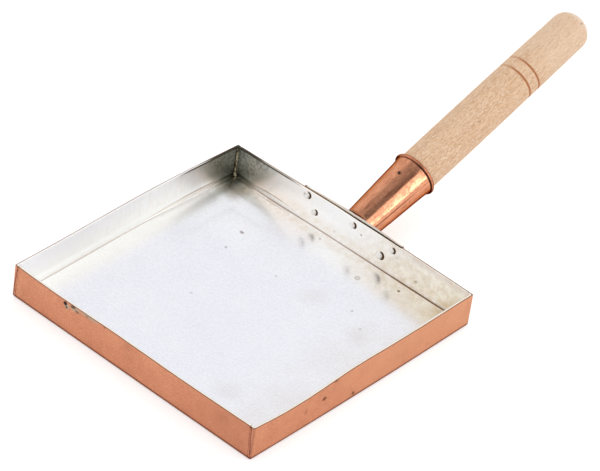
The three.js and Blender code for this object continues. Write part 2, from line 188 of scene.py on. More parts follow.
# Facets
WALL_STEPS = 40
CORNER_STEPS = 6
ROUND_STEPS = 96

# Studio, in metres: each lamp's direction, distance, width, height and radiance
LAMPS = {
    "key": ((0.83, 0.285, 0.48), 1.1, 0.055, 0.85, 10.5),
    "fill": ((-0.62, -0.5, 0.61), 1.5, 1.2, 1.2, 0.18),
}
LAMP_TARGET = (0, 0.12, 0.02)
AMBIENT = 0.8
# Dim parts of the surroundings: direction, outer and inner angle in degrees, and level
OVERHEAD = ((0.33, 0.116, 0.938), 17, 6, 0.4)
CEILING = ((0.0, 0.10, 0.99), 36, 20, 0.55)
CAMERA_SIDE = ((0.49, -0.637, 0.593), 22, 12, 0.26)
FLOOR_REACH = 4
FLOOR_DROP = 0.0001
FLOOR_TONE = (0.86, 0.86, 0.86, 1)
WHITE = (1, 1, 1, 1)
FLOOR_GLOW = 0.47

# Camera, in metres, degrees and millimetres of lens
CAMERA_PLACE = (1.13526, -1.44787, 1.43859)
CAMERA_TURN = (52.9907, -6.8224, 42.2775)
LENS = 216.39
SENSOR = 36
CLIP_END = 20


def cone_radius(station):
    return BASE_RADIUS + SLOPE * station


def base_station(turn, inward):
    """Station where a line of the cone meets the plane of its base."""
    lift = sin(turn) * SIN
    return (SOCKET_BASE + (BASE_RADIUS - inward) * lift) / (COS - SLOPE * lift)


def axis_height():
    """Height in the rear wall's frame at which the handle's axis meets it."""
    foot = (SOCKET_CLEARANCE + SOCKET_BASE * sin(REAR_LEAN)) / cos(REAR_LEAN)
    lowest = base_station(-pi / 2, 0)
    return foot + cone_radius(lowest) * COS - lowest * SIN


HANDLE = REAR @ Matrix.Translation((0, 0, axis_height() * MM)) @ Matrix.Rotation(TILT, 4, "X")


# Numbers and curves

def ramp(value, low, high):
    """Share of the way from low to high, held between 0 and 1."""
    return min(1, max(0, (value - low) / (high - low)))


def hump(value, centre, width):
    return exp(-((value - centre) / width) ** 2)


def wave(place, size, seed):
    """Smooth noise from -1 to 1 at a place in millimetres."""
    return noise.noise(Vector(place) / size + Vector((seed, 2.3 * seed, 5.1 * seed)))


def quarter(steps):
    """Angles of a quarter turn, with both its ends."""
    return [pi / 2 * k / steps for k in range(steps + 1)]


def circle(steps):
    return [2 * pi * k / steps for k in range(steps)]


def curve(start, control, stop, steps):
    """Points of a quadratic curve, without its end."""
    made = []
    for k in range(steps):
        t = k / steps
        weights = ((1 - t) ** 2, 2 * t * (1 - t), t * t)
        made.append([sum(w * v for w, v in zip(weights, values)) for values in zip(start, control, stop)])
    return made


# Mesh helpers

def loft(rings, closed=False):
    """Points and faces of a skin over rings of equal length, capped at both ends unless it is closed."""
    count = len(rings[0])
    points = [point for ring in rings for point in ring]
    faces = []
    for row in range(len(rings) if closed else len(rings) - 1):
        low = row * count
        high = (row + 1) % len(rings) * count
        for k in range(count):
            after = (k + 1) % count
            faces.append((low + k, low + after, high + after, high + k))
    if not closed:
        faces.append(tuple(range(count)))
        faces.append(tuple(range(len(points) - count, len(points))))
    return points, faces


def turned(profile, steps, wobble):
    """Skin of a profile of (radius, station) turned about Y."""
    rings = []
    for radius, station in profile:
        ring = []
        for turn in circle(steps):
            reach = radius * (1 + wobble(turn, station))
            ring.append((reach * cos(turn), station, reach * sin(turn)))
        rings.append(ring)
    return loft(rings)


def add_object(name, data):
    made = bpy.data.objects.new(name, data)
    bpy.context.scene.collection.objects.link(made)
    return made


def add_piece(name, skin, nodes, material, place=Matrix(), sharp=40):
    """Makes a piece from points in millimetres in a frame, and lets it stand for its CAD nodes."""
    points, faces = skin
    mesh = bpy.data.meshes.new(name)
    mesh.from_pydata([place @ (Vector(point) * MM) for point in points], [], faces)
    work = bmesh.new()
    work.from_mesh(mesh)
    bmesh.ops.recalc_face_normals(work, faces=work.faces)
    work.to_mesh(mesh)
    work.free()
    mesh.polygons.foreach_set("use_smooth", [True] * len(mesh.polygons))
    mesh.set_sharp_from_angle(angle=radians(sharp))
    mesh.materials.append(material)
    piece = add_object(name, mesh)
    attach(piece, "root")
    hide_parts(*nodes)
    return piece


def add_mask(piece, name, values):
    """Gives each point of a piece a value that its material reads."""
    layer = piece.data.attributes.new(name, "FLOAT", "POINT")
    layer.data.foreach_set("value", values)


# Tray and lining

def bow(wall, along, height):
    """How far a wall stands out of its straight line."""
    share = (along + HALF) / (2 * HALF)
    waves = [sin((i + 1) * pi * share) for i in range(4)]
    foot = sum(a * w for a, w in zip(FOOT_BOW[wall], waves))
    rim = sum(a * w for a, w in zip(RIM_BOW[wall], waves))
    return foot + (rim - foot) * height / HEIGHT


def wall_shares():
    """Places along a wall from -1 to 1, with close ones at the seams."""
    straight = HALF - CORNER
    even = [2 * k / WALL_STEPS - 1 for k in range(WALL_STEPS + 1)]
    seam = [(HALF - SEAM_INSET + step) / straight for step in SEAM_STEPS]
    return sorted(even + seam + [-share for share in seam])


SHARES = wall_shares()


def in_seam(wall, share):
    place = abs(share) * (HALF - CORNER)
    return wall in ("front", "rear") and abs(place - HALF + SEAM_INSET) < SEAM_HALF


def bend_size(wall, along):
    """Size of the lining's bend above the floor, as a share of the largest."""
    full = 0.5
    if wall == "rear":
        full = 0.35 + 0.75 * hump(along, 68, 25)
    elif wall == "left":
        rise = ramp(-along, 5, 65)
        full = 0.22 + 0.9 * rise * rise * (3 - 2 * rise)
    return 0.1 + (full - 0.1) * ramp(HALF - abs(along), 8, 24)


def tray_ring(inset, height, corner=INNER_CORNER, seam=0, notch=0, run=0, rise=0):
    """Plan of the tray at one height. Run and rise move it in and up by the size of the bend."""
    half = HALF - inset
    straight = half - corner
    ring = []
    for wall, (out_x, out_y) in WALLS.items():
        spots = []
        for share in SHARES:
            along = straight * share
            cut = in_seam(wall, share)
            size = bend_size(wall, along)
            across = half + bow(wall, along, height) - seam * cut - run * size
            spots.append((across, along, height - notch * cut + rise * size))
        size = bend_size(wall, straight)
        centre = straight - run * size
        for turn in quarter(CORNER_STEPS)[1:-1]:
            across = centre + corner * cos(turn)
            spots.append((across, centre + corner * sin(turn), height + rise * size))
        for across, along, level in spots:
            ring.append((out_x * across - out_y * along, out_y * across + out_x * along, level))
    return ring


def tray():
    rings = [tray_ring(FLAT_INSET, 0, CORNER)]
    for k, turn in enumerate(quarter(6)):
        under = 1 - sin(turn)
        height = OUTER_FOLD * (1 - cos(turn))
        corner = CORNER + FOOT_CORNER * under
        rings.append(tray_ring(OUTER_FOLD * under, height, corner, SEAM_DEPTH * (k > 4)))
    for height in (4, 8, 12, 16, 20, 23, HEIGHT - RIM_ROUND - 0.2):
        rings.append(tray_ring(0, height, CORNER, SEAM_DEPTH))
    tinned = [0.0] * len(rings)
    for k, turn in enumerate(quarter(4)):
        tinned.append(TIN_STEP * k)
        inset = RIM_ROUND * (1 - cos(turn))
        height = HEIGHT - RIM_ROUND * (1 - sin(turn))
        rings.append(tray_ring(inset, height, CORNER, SEAM_DEPTH, SEAM_NOTCH))
    for inset, height in ((SHEET - RIM_ARRIS, HEIGHT), (SHEET, HEIGHT - RIM_ARRIS)):
        rings.append(tray_ring(inset, height, notch=SEAM_NOTCH))
    rings += [tray_ring(SHEET, SHEET + INNER_FOLD), tray_ring(SHEET + INNER_FOLD, SHEET)]
    rings.append(tray_ring(FLAT_INSET, SHEET, CORNER))
    tinned += [1.0] * (len(rings) - len(tinned))
    piece = add_piece("tray_copper", loft(rings), ["pan_body"], copper_sheet())
    add_mask(piece, "tinned", [value for value in tinned for _ in rings[0]])


def crease_shade(point, edge):
    """Strength of the painted shade line at a point of the lining's bend: at its foot, beside it or at its
    top.
    """
    x, y, _ = point
    lines = {"foot": 0.4}
    if y > abs(x):
        to_right = ramp(x, -10, 50)
        lines = {"foot": 0.6 + 0.4 * to_right, "beside": to_right, "top": 0.7 * hump(x, -70, 20)}
    elif -x > abs(y):
        to_far = ramp(y, 10, 40)
        lines = {"foot": 0.5 * (1 - to_far), "top": 0.85 * to_far}
    return float(lines.get(edge, 0))


def lining():
    rings = [
        tray_ring(FLAT_INSET, LINING_BACK, CORNER),
        tray_ring(LINING_BACK + LINING_EASE, LINING_BACK),
        tray_ring(LINING_BACK, LINING_BACK + LINING_EASE),
        tray_ring(LINING_BACK, LINING_TOP - 0.3),
        tray_ring(SHEET + 0.01, LINING_TOP),
        tray_ring(LINING_FACE - 0.1, LINING_TOP),
    ]
    for height in (LINING_TOP - 0.1, LINING_TOP - 0.6, 22, 18, 14, 10, 7.5):
        rings.append(tray_ring(LINING_FACE, height))
    rings.append(tray_ring(LINING_FACE, LINING_FACE + 0.45, rise=BEND_RISE))
    top = len(rings)
    sweep = 2 * atan(BEND_RUN / BEND_RISE)
    radius = BEND_RISE / sin(sweep)
    for k in range(BEND_STEPS + 1):
        turn = sweep * k / BEND_STEPS
        run = radius * (1 - cos(turn))
        rise = BEND_RISE - radius * sin(turn)
        rings.append(tray_ring(LINING_FACE, LINING_FACE, run=run, rise=rise))
    foot = len(rings)
    for inset in (0.45, 0.8, 1.2, 2, 10):
        rings.append(tray_ring(LINING_FACE + inset, LINING_FACE, CORNER, run=BEND_RUN))
    piece = add_piece("lining_tin", loft(rings), ["tin_lining"], wiped_tin(), sharp=30)
    # rows of the bend that carry painted shade lines: at its top, beside it and at its foot
    edges = {top: "top", top + 1: "top", foot - 3: "beside", foot + 1: "beside"}
    edges.update(dict.fromkeys((foot - 2, foot - 1, foot), "foot"))
    shade_lines = [crease_shade(point, edges.get(row)) for row, ring in enumerate(rings) for point in ring]
    add_mask(piece, "crease", shade_lines)


def solder(name, side_x, side_y, seed, material):
    """Lumpy fillet of solder up one inside corner of the tray."""
    corner = HALF - LINING_FACE - 0.05
    wall = "left" if side_x < 0 else "right"
    rings = []
    for row in range(SOLDER_ROWS + 1):
        height = LINING_FACE + SOLDER_LIFT + (HEIGHT - SOLDER_SHORT - LINING_FACE) * row / SOLDER_ROWS
        foot = exp(-(height - LINING_FACE) / SOLDER_FADE)
        leg = SOLDER_LEG + SOLDER_FOOT * foot + SOLDER_LUMPS * wave((0, 0, height), 1.5, seed)
        section = [(0, 0)]
        for turn in quarter(8):
            lump = SOLDER_HOLLOW * (1 + SOLDER_DENTS * wave((turn * 2, 0, height), 0.8, seed + 3))
            section.append((leg * (1 - sin(turn) * lump), leg * (1 - cos(turn) * lump)))
        swell = bow(wall, 95 * side_y, height) * 0.2
        rings.append([
            (side_x * (corner + swell - max(0, across)), side_y * (corner - max(0, along)), height)
            for across, along in section
        ])
    add_piece(name.replace("corner_", ""), loft(rings), [name], material, sharp=80)


# What the rear wall carries

def plate_outline():
    """Outline of the plate in X and Z, with a slightly wavy top edge that turns up at its ends."""
    half = PLATE_WIDTH / 2
    foot = PLATE_FOOT / 2
    bottom = PLATE_BOTTOM
    crown = HEIGHT + PLATE_RISE
    end = crown - PLATE_CROWN
    shoulder = bottom + PLATE_SHOULDER
    waist = (shoulder + end) / 2
    points = curve((-foot, bottom), (0, bottom), (foot, bottom), 12)
    points += curve((foot, bottom), (half, bottom), (half, shoulder), 10)
    points += curve((half, shoulder), (half, waist), (half, end + 0.2), 4)
    for x, z in curve((half - 0.6, end), (0, crown + PLATE_CROWN), (0.6 - half, end), 40):
        left = max(0, (-x - EAR_START) / EAR_LENGTH)
        right = max(0, (x - EAR_START) / EAR_LENGTH)
        lift = LEFT_EAR * left ** 2 + RIGHT_EAR * right ** 2
        points.append([x, z + lift - 0.12 * (1 + wave((x, 0, 0), 7, 4))])
    points += curve((-half, end + 0.5), (-half, waist), (-half, shoulder), 4)
    points += curve((-half, shoulder), (-half, bottom), (-foot, bottom), 10)
    return [(x + PLATE_OFFSET, z) for x, z in points]


def plate():
    middle = (HEIGHT + PLATE_BOTTOM) / 2
    levels = (
        (PLATE_BEVEL, PLATE_FRONT),
        (0, PLATE_FRONT + PLATE_BEVEL),
        (0, PLATE_BACK - PLATE_BEVEL),
        (PLATE_BEVEL, PLATE_BACK),
    )
    rings = []
    for inset, y in levels:
        ring = []
        for x, z in plate_outline():
            inward = max(-1, min(1, (PLATE_OFFSET - x) / 8))
            ring.append((x + inset * inward, y, z + copysign(inset, middle - z)))
        rings.append(ring)
    add_piece("plate_copper", loft(rings), ["handle_plate"], plate_copper(), REAR, sharp=50)


def rivet(name, size, seed, material):
    """Hand-set rivet: domed head inside the pan, shank, and hammered head behind the plate."""
    low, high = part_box(name)
    centre = REAR.inverted() @ ((low + high) / 2) / MM
    back = PLATE_BACK + TAIL_GAP
    seat = min(-LINING_FACE - RIVET_GAP, 2 * centre.y - back - TAIL_HEIGHT + HEAD_HEIGHT)
    head = HEAD * size
    profile = [(RIVET_TIP, seat - HEAD_HEIGHT)]
    for turn in quarter(8)[1:]:
        profile.append((head * sin(turn), seat - HEAD_HEIGHT * cos(turn) ** 0.4))
    profile += [(head - 0.12, seat + 0.1), (SHANK, seat + 0.1), (SHANK, back), (TAIL - 0.1, back)]
    for turn in quarter(8):
        flat = TAIL_HEIGHT * (0.75 + 0.25 * sin(turn))
        profile.append((max(RIVET_TIP, TAIL * cos(turn)), back + 0.1 + (flat - 0.1) * sin(turn)))

    def wobble(turn, station):
        amount = 0.05 if station < 0 else 0.1
        return amount * (wave((cos(turn), sin(turn), station), 0.9, seed) - 0.5)

    place = REAR @ Matrix.Translation((centre.x * MM, 0, centre.z * MM))
    add_piece(name + "_tinned", turned(profile, 28, wobble), [name], material, place)


def planish(turn, station):
    """Slight unevenness of the hammered cone, always inward."""
    place = (cos(turn) * 9, station * 0.4, sin(turn) * 9)
    return -0.005 * (1 + wave(place, 5.5, 11)) - 0.002 * (1 + wave(place, 2.4, 12))


def socket_profile(turn):
    """Outline of the cone's sheet at one angle, from its base round the bead and back inside."""
    start = base_station(turn, 0)
    stop = SOCKET_LENGTH - BEAD
    on_lap = 0 < degrees(turn) - SEAM_ANGLE < LAP_WIDTH
    made = []
    for k in range(SOCKET_STEPS + 1):
        station = start + (stop - start) * k / SOCKET_STEPS
        fade = min(1, k / 2, (SOCKET_STEPS - k) / 2)
        drop = 0 if on_lap else LAP_HEIGHT * fade
        made.append((cone_radius(station) * (1 + planish(turn, station) * fade) - drop, station))
    mouth = cone_radius(SOCKET_LENGTH)
    for k in range(1, BEAD_STEPS + 1):
        arc = -pi / 2 + 1.15 * pi * k / BEAD_STEPS
        made.append((mouth + BEAD * cos(arc), SOCKET_LENGTH + BEAD * sin(arc)))
    outer = SOCKET_LENGTH - 0.4
    inner = base_station(turn, SOCKET_SHEET)
    for k in range(7):
        station = outer + (inner - outer) * k / 6
        made.append((cone_radius(station) - SOCKET_SHEET, station))
    return made


def socket():
    seam = radians(SEAM_ANGLE)
    columns = []
    for turn in sorted(circle(ROUND_STEPS) + [seam - 0.006, seam + 0.006]):
        columns.append([(r * cos(turn), s, r * sin(turn)) for r, s in socket_profile(turn)])
    skin = loft(columns, closed=True)
    add_piece("socket_cone", skin, ["handle_socket"], polished_copper(), HANDLE)


def braze():
    """Lumpy fillet round the foot of the cone, against the plate."""
    rings = []
    axis = axis_height()
    for turn in circle(ROUND_STEPS):
        side = cos(turn)
        top = sin(turn)
        start = base_station(turn, 0)
        radius = cone_radius(start)
        foot = Vector((radius * side, SOCKET_BASE, axis + start * SIN + radius * top * COS))
        outward = Vector((side, 0, top))
        along = Vector((SLOPE * side, COS - SLOPE * top * SIN, SIN + SLOPE * top * COS)).normalized()
        leg = BRAZE_LEG * (0.8 + 0.2 * wave((foot.x, 0, foot.z), 3.5, 21))
        root = foot + outward * BRAZE_GAP
        ring = [root]
        for arc in quarter(6):
            out = outward * leg * (1 - sin(arc) * BRAZE_HOLLOW)
            ring.append(root + out + along * leg * (1 - cos(arc) * BRAZE_HOLLOW))
        rings.append([(point.x, point.y, max(point.z, BRAZE_CLEARANCE)) for point in ring])
    skin = loft(rings, closed=True)
    add_piece("socket_braze_fillet", skin, ["socket_braze"], brazing_brass(), REAR)


def grip_radius(station):
    belly = SOCKET_LENGTH + GRIP_BELLY
    end = GRIP_END - GRIP_DOME
    return GRIP_RADIUS - GRIP_DRAW * ((station - belly) / (end - belly)) ** 2


def grip():
    tenon = SOCKET_LENGTH - TENON_DEPTH
    neck = SOCKET_LENGTH - 3
    station = SOCKET_LENGTH + SHOULDER
    profile = [
        (0.3, tenon),
        (cone_radius(tenon) - TENON_FIT - 1, tenon),
        (cone_radius(tenon) - TENON_FIT, tenon + 1),
        (cone_radius(neck) - TENON_FIT, neck),
        (cone_radius(SOCKET_LENGTH) - TENON_FIT, SOCKET_LENGTH + 0.8),
        (grip_radius(station) - SHOULDER_EASE, station - SHOULDER_EASE),
    ]
    dome = GRIP_END - GRIP_DOME
    while station < dome:
        nearest = min(abs(station - groove) for groove in GROOVES)
        cut = GROOVE_DEPTH * max(0, cos(min(1, nearest / (GROOVE_WIDTH / 2)) * pi / 2))
        profile.append((grip_radius(station) - cut, station))
        station += 0.2 if nearest < 1.4 else 1.2
    for turn in quarter(24):
        profile.append((max(0.2, grip_radius(dome) * cos(turn)), dome + GRIP_DOME * sin(turn)))

    def wobble(turn, station):
        return -0.002 * (2.2 + wave((6 * cos(turn), station * 0.3, 6 * sin(turn)), 9, 31))

    skin = turned(profile, ROUND_STEPS, wobble)
    add_piece("grip_wood", skin, ["wood_handle"], turned_wood(), HANDLE, sharp=60)


def nail():
    seat = cone_radius(NAIL_STATION) + NAIL_GAP
    profile = [
        (NAIL_TIP, -NAIL_LENGTH),
        (NAIL_SHANK, 2 - NAIL_LENGTH),
        (NAIL_SHANK, -0.1),
        (NAIL_HEAD - 0.1, -0.1),
        (NAIL_HEAD, 0),
    ]
    for turn in quarter(6)[1:]:
        profile.append((max(NAIL_TIP, NAIL_HEAD * cos(turn)), NAIL_RISE * sin(turn)))

    def wobble(turn, station):
        return -0.08 * (1 + wave((cos(turn), station, sin(turn)), 0.8, 41))

    upright = Matrix.Rotation(pi / 2, 4, "X")
    place = HANDLE @ Matrix.Translation((0, NAIL_STATION * MM, seat * MM)) @ upright
    skin = turned(profile, 24, wobble)
    add_piece("nail_dark", skin, ["handle_nail"], dark_steel(), place)


# Nodes

def rgb(red, green, blue):
    """Colour as it shows on a screen, from 0 to 255, as Blender's linear values."""
    parts = [value / 255 for value in (red, green, blue)]
    linear = [v / 12.92 if v <= 0.04045 else ((v + 0.055) / 1.055) ** 2.4 for v in parts]
    return (*linear, 1)


def on_axes(axes, numbers):
    """Vector with the numbers on the axes named, and 0 on the others."""
    given = dict(zip(axes, numbers))
    return [given.get(axis, 0) for axis in "xyz"]


def fill(node, inputs):
    """Sets the inputs of a node, or joins them to values that other nodes give."""
    for key, value in inputs.items():
        if isinstance(value, Value):
            node.id_data.links.new(value.socket, node.inputs[key])
        else:
            node.inputs[key].default_value = value
    return node


def most(values):
    """Largest of several values."""
    total = values[0]
    for value in values[1:]:
        total = total | value
    return total


class Value:
    """Number, place or colour that a node gives. Arithmetic with it adds nodes, and | takes the larger."""

    def __init__(self, socket):
        self.socket = socket
        self.tree = socket.id_data

    def number(self, operation, *others):
        """Result of an operation on this number and others."""
        node = self.tree.nodes.new("ShaderNodeMath")
        node.operation = operation
        return Value(fill(node, dict(enumerate((self, *others)))).outputs[0])

    def __add__(self, other):
        return self.number("ADD", other)

    def __sub__(self, other):
        return self.number("SUBTRACT", other)

    def __rsub__(self, other):
        return self * -1 + other

    def __mul__(self, other):
        return self.number("MULTIPLY", other)

    def __truediv__(self, other):
        return self.number("DIVIDE", other)

    def __or__(self, other):
        return self.number("MAXIMUM", other)

    def __abs__(self):
        return self.number("ABSOLUTE")

    def vector(self, operation, *others):
        """Result of an operation on this place or colour and others."""
        node = self.tree.nodes.new("ShaderNodeVectorMath")
        node.operation = operation
        fill(node, dict(enumerate((self, *others))))
        return Value(node.outputs["Value" if operation in ("LENGTH", "DOT_PRODUCT") else "Vector"])

    def span(self, low, high):
        """0 below low and 1 above high, smooth between. Falls instead where low is above high."""
        node = self.tree.nodes.new("ShaderNodeMapRange")
        node.interpolation_type = "SMOOTHSTEP"
        fill(node, {"Value": self, "From Min": min(low, high), "From Max": max(low, high)})
        fill(node, {"To Min": int(low > high), "To Max": int(low <= high)})
        return Value(node.outputs["Result"])

    def blend(self, a, b):
        """Number between a and b, with this value as the share of b."""
        node = self.tree.nodes.new("ShaderNodeMix")
        return Value(fill(node, {0: self, 2: a, 3: b}).outputs[0])

    def mix(self, a, b):
        """Colour between a and b, with this value as the share of b."""
        node = self.tree.nodes.new("ShaderNodeMix")
        node.data_type = "RGBA"
        a, b = [tone if isinstance(tone, Value) else rgb(*tone) for tone in (a, b)]
        return Value(fill(node, {0: self, 6: a, 7: b}).outputs[2])

    def reach(self, axes, centre, squash=(1, 1, 1)):
        """Distance of a place from a centre along the axes named. A squash below 1 shortens that axis."""
        away = self.vector("SUBTRACT", on_axes(axes, centre))
        return away.vector("MULTIPLY", on_axes(axes, squash)).vector("LENGTH")

    def spot(self, axes, centre, radius, soft, squash=(1, 1, 1)):
        """1 where a place is inside a mark and 0 outside it. A squash below 1 draws the mark out."""
        return self.reach(axes, centre, squash).span(radius + soft, max(0, radius - soft))

    def spots(self, axes, *marks):
        """Several marks as one mask: the strength of each, and then what makes it a spot."""
        return most([self.spot(axes, *mark) * strength for strength, *mark in marks])


class Paint:
    """One material. Places are in millimetres, in a frame of its own. Limb tints its grazing reflections."""

    def __init__(self, name, base=Matrix(), metallic=1.0, limb=None):
        self.material = bpy.data.materials.new(name)
        self.material.use_nodes = True
        self.tree = self.material.node_tree
        self.shader = fill(self.tree.nodes["Principled BSDF"], {"Metallic": metallic})
        if limb:
            fill(self.shader, {"Specular Tint": rgb(*limb)})
        source = self.tree.nodes.new("ShaderNodeTexCoord")
        local = self.tree.nodes.new("ShaderNodeMapping")
        local.vector_type = "TEXTURE"
        fill(local, {"Vector": Value(source.outputs["Object"]), "Scale": (MM, MM, MM)})
        fill(local, {"Location": base.to_translation(), "Rotation": base.to_euler()})
        self.place = Value(local.outputs["Vector"])
        parts = fill(self.tree.nodes.new("ShaderNodeSeparateXYZ"), {0: self.place})
        self.axes = [Value(output) for output in parts.outputs]
        self.colour = None

    def noise_at(self, place, scale, detail, rough=0.5):
        """Outputs of a noise at a place."""
        node = self.tree.nodes.new("ShaderNodeTexNoise")
        return fill(node, {"Vector": place, "Scale": scale, "Detail": detail, "Roughness": rough}).outputs

    def noise(self, size, detail=2, stretch=(1, 1, 1), seed=0, rough=0.5):
        """Noise with features of a size in millimetres, drawn out along the axes with a large stretch."""
        scaled = [1 / (size * part) for part in stretch]
        moved = self.place.vector("MULTIPLY_ADD", scaled, (seed, 1.7 * seed, 3.1 * seed))
        return Value(self.noise_at(moved, 1, detail, rough)[0])

    def ragged(self, amount, size, seed):
        """The place, shifted about, for marks with uneven outlines."""
        moved = self.place.vector("MULTIPLY_ADD", [1 / size] * 3, [seed] * 3)
        shift = Value(self.noise_at(moved, 1, 3)["Color"]).vector("SUBTRACT", (0.5, 0.5, 0.5))
        return shift.vector("MULTIPLY_ADD", [2 * amount] * 3, self.place)

    def mask(self, name):
        """Value that each point of the mesh carries."""
        node = self.tree.nodes.new("ShaderNodeAttribute")
        node.attribute_name = name
        return Value(node.outputs["Fac"])

    def coat(self, tone, mask):
        """Lays a tone over the colour so far."""
        self.colour = mask.mix(self.colour, tone)

    def finish(self, roughness, height, depth, strength):
        """Joins colour, roughness and bump to the shader. Depth is in millimetres."""
        bump = self.tree.nodes.new("ShaderNodeBump")
        fill(bump, {"Strength": strength, "Distance": depth * MM, "Height": height})
        normal = Value(bump.outputs["Normal"])
        fill(self.shader, {"Base Color": self.colour, "Roughness": roughness, "Normal": normal})
        return self.material


# Copper of the tray

def copper_sheet():
    """Satin copper outside, tinned over the rim, with the chips and specks of a used pan."""
    paint = Paint("satin_copper", limb=(236, 216, 206))
    mottle = paint.noise(16, detail=3)
    fine = paint.noise(1.1, seed=4)
    rolled = paint.noise(0.6, detail=3, stretch=(24, 24, 1), seed=7)
    walls = outer_walls(paint)
    paint.colour = mottle.span(0.3, 0.7).mix((210, 146, 114), (202, 138, 108))
    paint.coat((186, 120, 92), fine.span(0.45, 0.75) * 0.55)
    paint.coat((232, 172, 138), fine.span(0.5, 0.25) * 0.55)
    paint.coat((226, 163, 130), rolled.span(0.5, 0.8) * 0.25)
    copper_shades(paint, walls, fine)
    paint.coat((104, 54, 48), seam_lines(paint))
    worn = copper_marks(paint, walls)
    tinned = tinned_rim(paint, walls, mottle)
    rough = worn.blend(mottle.blend(0.36, 0.46), 0.6)
    return paint.finish(tinned.blend(rough, 0.22), rolled + fine, depth=0.02, strength=0.5)


def outer_walls(paint):
    """Masks of the outside of the four walls."""
    x, y, _ = paint.axes
    return {
        "front": y.span(-103, -104),
        "right": x.span(103, 104),
        "rear": y.span(103, 104),
        "left": x.span(-103, -104),
    }


def copper_shades(paint, walls, fine):
    """Brighter right wall from a painted sheen, duller end of the front wall, painted shade at the dark
    foot, and scuffed underside.
    """
    x, y, z = paint.axes
    # painted sheen: the right wall brighter, more so towards the rear
    paint.coat((222, 168, 132), walls["right"] * y.span(-100, 60).blend(0.05, 0.4))
    paint.coat((186, 122, 96), walls["front"] * x.span(20, 100) * 0.5)
    # painted shade along the foot of the walls, near their outline
    foot = (z + fine * 0.6).span(3.6, 2.5)
    side = (abs(x) | abs(y)).span(HALF - 1.7, HALF - 0.7)
    paint.coat((112, 62, 46), foot * side * 0.8)
    scuffs = paint.noise(9, detail=5, stretch=(2, 1, 1), seed=21, rough=0.65).span(0.42, 0.7)
    paint.coat((160, 98, 74), z.span(0.3, 0.1) * scuffs * 0.6)


def seam_lines(paint):
    """Dark lines of the lapped corners: one slants to the arris at the foot, and fainter ones beside it."""
    x, y, z = paint.axes
    shift = (paint.noise(2.5, detail=3, seed=14) - 0.5) * 1.2
    slant = abs(x) + z * (2.0 / HEIGHT) + shift
    main = abs(slant - (HALF - 0.6)).span(0.6, 0.2)
    faint = abs(slant - (HALF - 2.0)).span(0.5, 0.15)
    lap = (main | faint * 0.45) * abs(y).span(103, 104)
    edge = (abs(x) + abs(y)).span(2 * HALF - 0.8, 2 * HALF - 0.5)
    broken = paint.noise(1.5, seed=13).span(0.3, 0.55).blend(0.35, 1)
    return (lap | edge * 0.4) * broken


def copper_marks(paint, walls):
    """Brown specks, and a smear of tin with dark chips at the front rim. Gives smear and chips as a mask."""
    place = paint.ragged(1.0, 2.2, 3)
    right = place.spots(
        "yz",
        (0.9, (-40, 16), 1.4, 0.7, (0.7, 1)),
        (0.8, (-10.4, 4.6), 1.0, 0.7, (0.8, 0.7)),
        (0.7, (-30, 25), 0.9, 0.7, (0.5, 1)),
        (0.35, (-57.4, 15), 1.3, 1.0, (1, 0.6)),
        (0.3, (61.5, 7.4), 0.8, 0.8),
    )
    front = place.spots(
        "xz",
        (0.35, (-43, 12.4), 0.6, 0.6),
        (0.7, (-24, 25.2), 0.8, 0.6),
        (1, (101.6, 25), 0.8, 0.4),
    )
    paint.coat((110, 66, 48), right * walls["right"] | front * walls["front"])
    smear = walls["front"] * place.spots(
        "xz",
        (0.7, (-37, 25), 1.4, 0.8, (0.2, 1)),
        (0.75, (-49.5, 23.8), 1.9, 0.7, (0.5, 1)),
        (0.8, (-56.8, 22.4), 2.3, 0.6),
    )
    paint.coat((186, 176, 158), smear)
    chips = walls["front"] * place.spots(
        "xz",
        (1, (-58, 23.6), 1.4, 0.4, (1, 0.8)),
        (0.8, (-57, 21.2), 0.9, 0.4),
        (0.8, (-51.4, 24.6), 1.2, 0.5, (0.6, 1)),
        (0.7, (-47.6, 22.8), 0.9, 0.5, (0.6, 1)),
        (0.4, (-39, 24), 0.8, 0.6, (0.6, 1)),
    )
    paint.coat((52, 44, 38), chips)
    return chips | smear


def tinned_rim(paint, walls, mottle):
    """Tin that comes over the rim, with a brown line outside it and painted shadow on the rim behind the
    plate. Gives the tin as a mask.
    """
    x, y, _ = paint.axes
    rear = walls["rear"]
    left = walls["left"]
    # rear rim behind the plate, where a painted shadow of the gap is laid
    behind = rear * abs(x - PLATE_OFFSET).span(PLATE_WIDTH / 2 + 0.5, PLATE_WIDTH / 2 - 0.5)
    far = paint.place.spot("xy", (-HALF, HALF), 26, 14, (1, 0.8))
    over = paint.mask("tinned") + (mottle - 0.5) * 0.25
    bare = left.mix((124, 84, 66), (148, 134, 128))
    bare = rear.mix(bare, (156, 138, 130))
    # painted shadow behind the plate, darker towards the right
    bare = behind.mix(bare, x.span(-20, 20).mix((100, 80, 58), (54, 44, 34)))
    bare = far.mix(bare, (70, 60, 44))
    line = far | ((y - x).span(0, 90) | rear).blend(0.85, 1)
    paint.coat(bare, over.span(0.02, 0.16) * line)
    # the painted shadow behind the plate reaches further over the rim
    by_plate = behind * x.span(-30, 10).blend(0.15, 0.5)
    width = by_plate | rear * 0.28 | left * 0.12 | far * 0.6
    tinned = (over - width).span(0.48, 0.6)
    paint.coat(left.mix((250, 241, 226), (250, 248, 246)), tinned)
    return tinned


# Tin of the lining

class TinPaint(Paint):
    """Paint that knows the lining's walls and the distance from its rear left corner, less up the walls;
    that corner is scorched and partly painted shade.
    """

    def __init__(self, name):
        super().__init__(name)
        x, y, z = self.axes
        self.wall = z.span(1.9, 2.4)
        self.rear = self.wall * y.span(98, 101)
        self.left = self.wall * x.span(-98, -101)
        inner = HALF - LINING_FACE
        lift = (z - LINING_FACE) * 0.95 - 5
        self.away = (x + inner).number("SMOOTH_MAX", inner - y, 6) - lift
        self.ragged_away = self.away + (self.noise(5, detail=4, seed=17, rough=0.6) - 0.5) * 9


